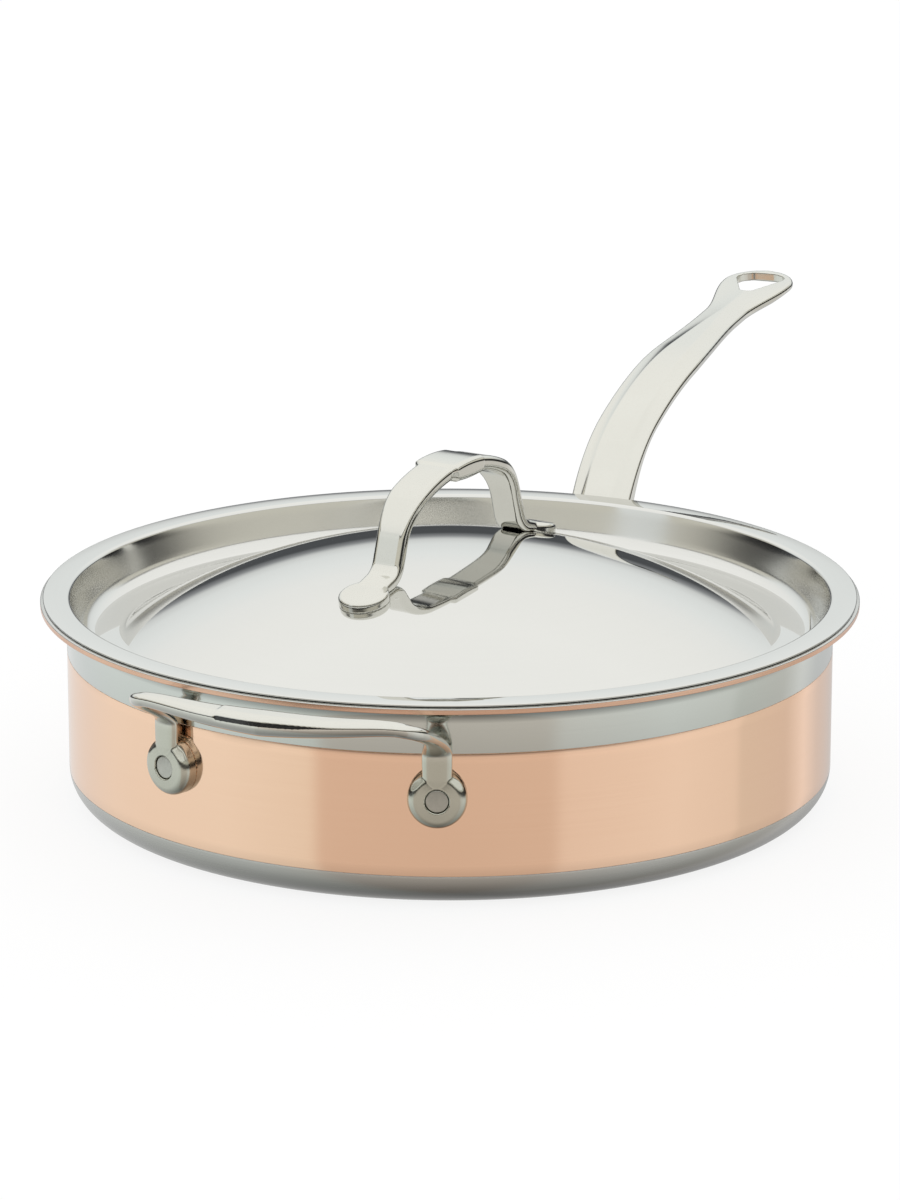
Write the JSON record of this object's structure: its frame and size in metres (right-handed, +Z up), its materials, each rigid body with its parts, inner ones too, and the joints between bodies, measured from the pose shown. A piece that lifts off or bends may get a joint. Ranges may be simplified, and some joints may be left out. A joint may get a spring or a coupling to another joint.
{
  "type": "lidded saute pan",
  "caption": "Straight-sided copper-clad saute pan with pouring lip, riveted long handle and helper handle, and a recessed domed lid with a strap handle.",
  "frame": {"origin": "centre of the pan's flat underside, where it stands on the hob", "axes": "+X along the long handle, away from the pan; +Z up; the helper handle is at -X"},
  "size_m": [0.5447, 0.3074, 0.1296],
  "materials": {
    "base_steel": "satin, turned rings",
    "copper": "polished copper",
    "band_steel": "polished",
    "core_aluminium": "hidden between the steel plies",
    "liner_steel": "satin inside the pan",
    "cast_steel": "polished casting",
    "rivet_steel": "satin",
    "lid_steel": "mirror polished"
  },
  "bodies": {
    "pan": {"base_plate": "base_steel", "copper_jacket": "copper", "rim_band": "band_steel", "aluminium_core": "core_aluminium", "steel_liner": "liner_steel", "long_handle": "cast_steel", "long_handle_rivets": "rivet_steel", "helper_handle": "cast_steel", "helper_handle_rivets": "rivet_steel"},
    "lid": {"lid_shell": "lid_steel", "lid_handle": "cast_steel"}
  },
  "joints": [
    {"name": "lid_lift", "type": "slide", "parent": "pan", "child": "lid", "axis": [0, 0, 1], "range_m": [0, 0.12]}
  ]
}
